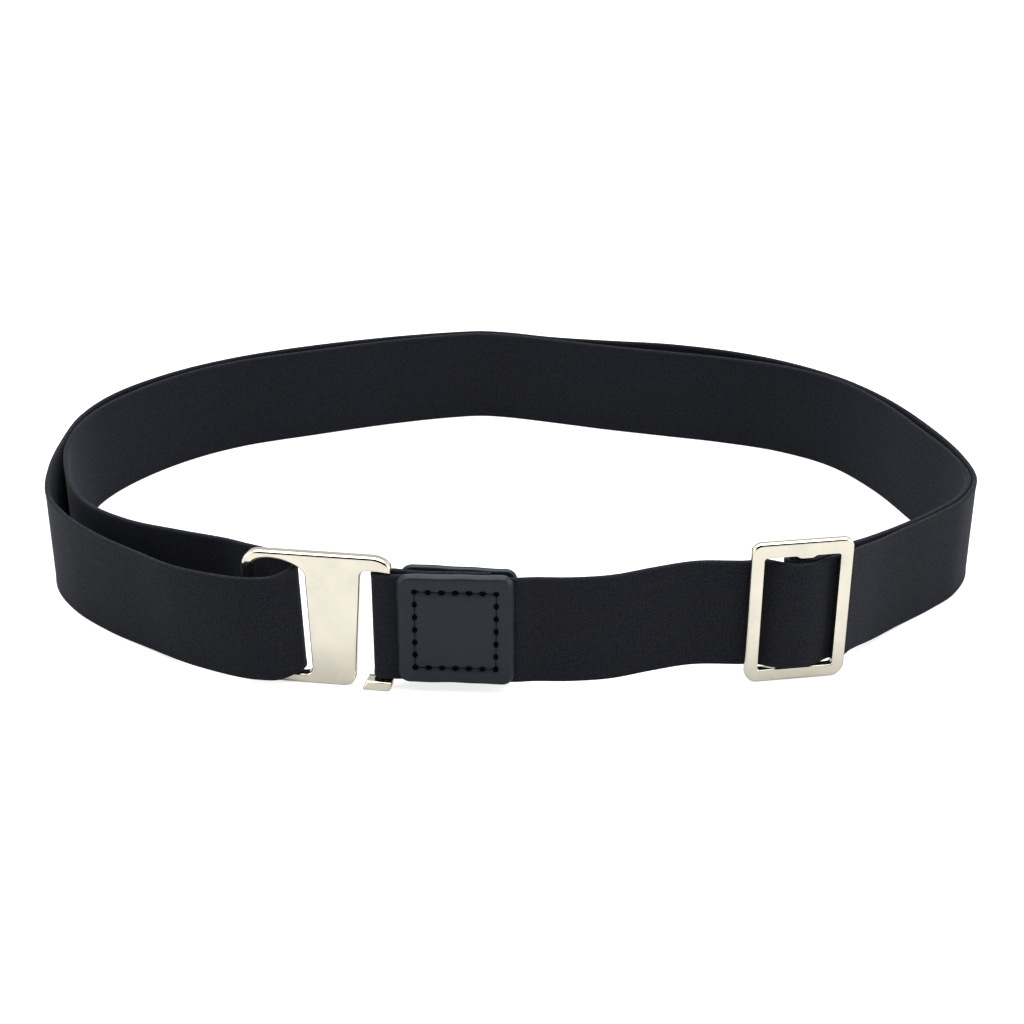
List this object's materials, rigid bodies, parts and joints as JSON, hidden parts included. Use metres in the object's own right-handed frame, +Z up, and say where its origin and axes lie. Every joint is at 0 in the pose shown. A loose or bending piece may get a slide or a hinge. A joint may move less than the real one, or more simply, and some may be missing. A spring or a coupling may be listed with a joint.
{
  "type": "shirt stay belt",
  "caption": "Adjustable elastic webbing shirt stay in a double loop, with a metal slider, a flat hook clasp and leather patches over its end loop.",
  "frame": {"origin": "under the middle of the loop, on the surface that it stands on", "axes": "+X to the right along the loop's width, +Y to the back of the loop, away from the clasp, +Z up along the webbing's width"},
  "size_m": [0.2176, 0.1502, 0.0332],
  "materials": {
    "webbing": "black elastic webbing, fine ribbed weave",
    "nickel": "polished nickel plate",
    "leather": "smooth charcoal leather with a bevelled edge"
  },
  "bodies": {
    "root": {"elastic_band": "webbing", "slider": "nickel", "hook_clasp": "nickel", "leather_patch_front": "leather", "leather_patch_back": "leather"}
  },
  "joints": []
}
